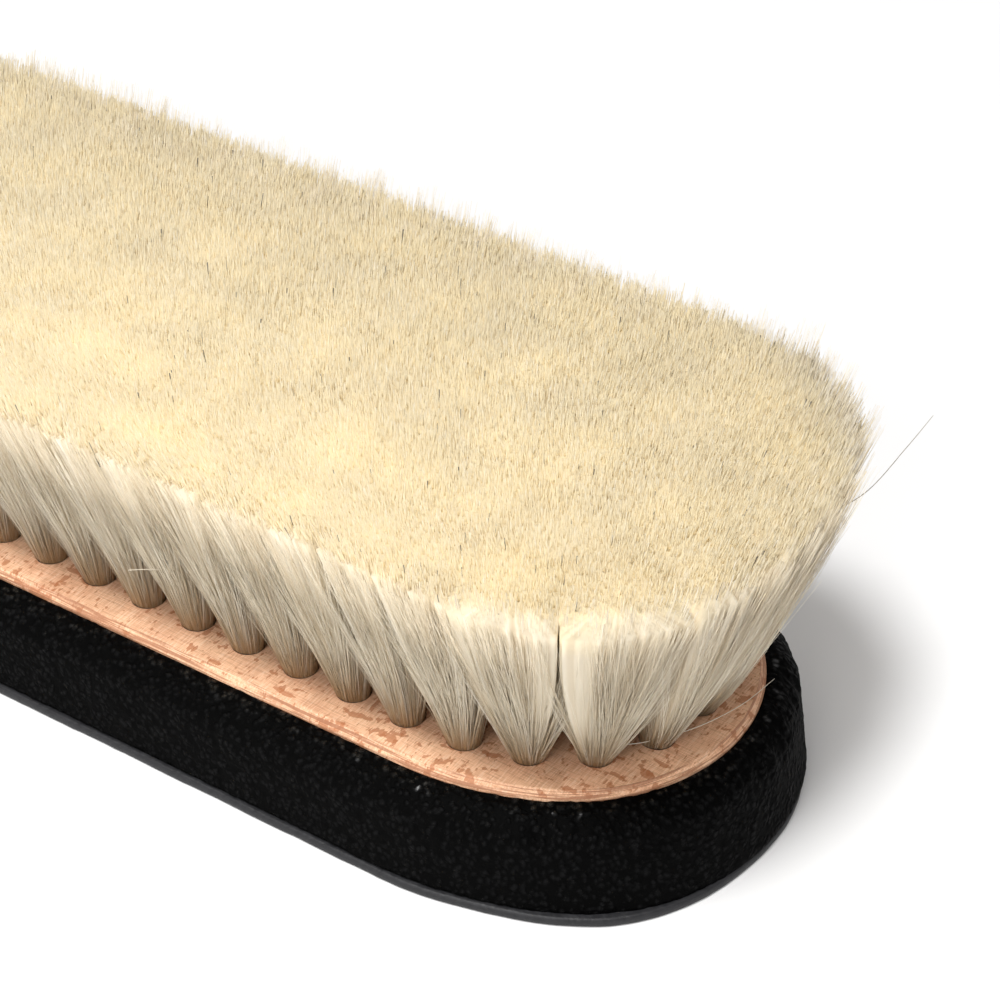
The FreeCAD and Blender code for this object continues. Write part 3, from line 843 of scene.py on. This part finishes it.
# from the foot up the hair goes from dark brown to silver: the brown is partly the hair's khaki and
# partly painted shade at the foot
silver_with_khaki_shaded_foot = goat_hair.mix(along.rise(0.0, 0.42), (0.50, 0.36, 0.20, 1), (0.95, 0.86, 0.69, 1))
patch = goat_hair.noise(goat_hair.place(along=0.8), 0.11, 3.0, 0.55).rise(0.38, 0.62)
cream = goat_hair.mix(patch, (0.935, 0.81, 0.55, 1), (0.995, 0.855, 0.56, 1))
colour = goat_hair.mix(along.rise(0.80, 1.0) * creamy, silver_with_khaki_shaded_foot, cream)
shaded = shade.rise(0.55, 0.0) * (0.68 - creamy * 0.33)
colour = goat_hair.mix(shaded, colour, (0.60, 0.46, 0.28, 1))
colour = goat_hair.mix(shade.rise(0.65, 1.0) * 0.5, colour, (0.99, 0.95, 0.85, 1))
colour = goat_hair.mix(dark * 0.95, colour, (0.06, 0.055, 0.055, 1))
goat_hair.set(Base_Color=colour, Roughness=0.5, Specular_IOR_Level=0.35)
through = goat_hair.add("BsdfTranslucent", None, {"Color": (0.98, 0.93, 0.82, 1)})
both = {0: 0.22, 1: Wire(goat_hair, goat_hair.shader.outputs[0]), 2: through}
surface = goat_hair.add("MixShader", None, both)
goat_hair.feed(goat_hair.tree.nodes["Material Output"], "Surface", surface)

FACE_INSET = min(inset(tuft.cell).min() for tuft in tufts_of("rim_tufts_front"))

# single hairs that have come loose: radius, shade, darkness and the places they pass
STRAYS = {
    "rim_tufts_near_end": [
        (0.06, 0.2, 0.75, (84.0, 17.5, 33), (87.0, 22.0, 35), (90.2, 24.4, 41), (92.4, 25.6, 45.5)),
        (0.07, 1.0, 0.22, (71.8, -11.2, 14.6), (76.6, -9.4, 15.4), (81.0, -4.6, 16.2),
         (83.6, 1.6, 16.4), (84.3, 8.1, 16.0))],
    "rim_tufts_front": [
        (0.05, 0.6, 0.15, (18.6, -25.8, 25), (20.6, -24.9, 25.4), (23.2, -23.0, 25.2),
         (25.0, -21.4, 25), (26.6, -19.7, 24.6))],
}

for row in HAIR_ROWS:
    tufts = tufts_of(row)
    rim_row = row.startswith("rim")
    size = TUFTS_A_PIECE if rim_row else len(tufts)
    starts = range(0, len(tufts), size)
    for number, start in enumerate(starts, start=1):
        bundle = Bundle()
        for tuft in tufts[start:start + size]:
            tuft.on_rim = rim_row
            core_of(bundle, tuft)
            clipped_tips_of(bundle, tuft)
            if rim_row:
                long_hairs_of(bundle, tuft)
        if number == 1:
            for stray in STRAYS.get(row, ()):
                strand(bundle, *stray)
        name = row.replace("tufts", "hair")
        piece = bundle.piece(f"{name}_{number}" if len(starts) > 1 else name)
        goat_hair.put_on(piece)
        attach(piece, "root")
        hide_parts(row)

# ---------------------------------------------------------------- floor, lamps and camera
# A white sheet of paper, a soft lamp almost straight above, a wide one low in front and at the
# left, and even light from all round.

bpy.ops.mesh.primitive_plane_add(size=4)
floor = bpy.context.object
floor.name = "floor"
paper = Finish("white_paper")
paper.set(Base_Color=(0.82, 0.82, 0.82, 1), Roughness=0.9, Specular_IOR_Level=0.1)
seen = (paper.add("LightPath", output="Is Camera Ray")
        + paper.add("LightPath", output="Is Glossy Ray")
        + paper.add("LightPath", output="Is Transmission Ray"))
glow = paper.add("Emission", None, {"Color": (1, 1, 1, 1), "Strength": 0.06})
plain = Wire(paper, paper.shader.outputs[0])
total = paper.add("AddShader", None, {0: plain, 1: glow})
choice = paper.add("MixShader", None, {0: seen, 1: plain, 2: total})
paper.feed(paper.tree.nodes["Material Output"], "Surface", choice)
paper.put_on(floor)

world = bpy.data.worlds.new("studio")
world.use_nodes = True
sky = world.node_tree.nodes["Background"]
sky.inputs["Color"].default_value = (1, 0.975, 0.96, 1)
sky.inputs["Strength"].default_value = 0.45
bpy.context.scene.world = world

AZIMUTH = math.radians(33.861)
ELEVATION = math.radians(37.239)
DISTANCE = 371.37 * mm
FOCAL_PIXELS = 2807.1
TARGET = Vector((28.07, 36.05, 0)) * mm
back = Vector((math.sin(AZIMUTH) * math.cos(ELEVATION), -math.cos(AZIMUTH) * math.cos(ELEVATION),
               math.sin(ELEVATION)))
right = Vector((math.cos(AZIMUTH), math.sin(AZIMUTH), 0))
forward = Vector((-math.sin(AZIMUTH), math.cos(AZIMUTH), 0))


def lamp(name, place, aim, size, power):
    """A round lamp that shines from its place at the aim."""
    light = bpy.data.lights.new(name, "AREA")
    light.shape = "DISK"
    light.size = size
    light.energy = power
    holder = bpy.data.objects.new(name, light)
    holder.location = place
    holder.rotation_euler = (Vector(aim) - Vector(place)).to_track_quat("-Z", "Y").to_euler()
    bpy.context.scene.collection.objects.link(holder)


aim = (0.03, 0, 0.02)
lamp("key", right * -0.145 - forward * 0.262 + Vector((0, 0, 0.95)), aim, 0.26, 8.1)
lamp("fill", right * -0.5 - forward * 0.9 + Vector((0, 0, 0.5)), aim, 0.9, 6.8)

view = bpy.data.cameras.new("camera")
view.sensor_width = 36
view.lens = FOCAL_PIXELS / 1000 * view.sensor_width
view.clip_start = 0.01
camera = bpy.data.objects.new("camera", view)
camera.location = TARGET + back * DISTANCE
camera.rotation_euler = (-back).to_track_quat("-Z", "Y").to_euler()
bpy.context.scene.collection.objects.link(camera)
bpy.context.scene.camera = camera
bpy.context.scene.view_settings.view_transform = "Standard"
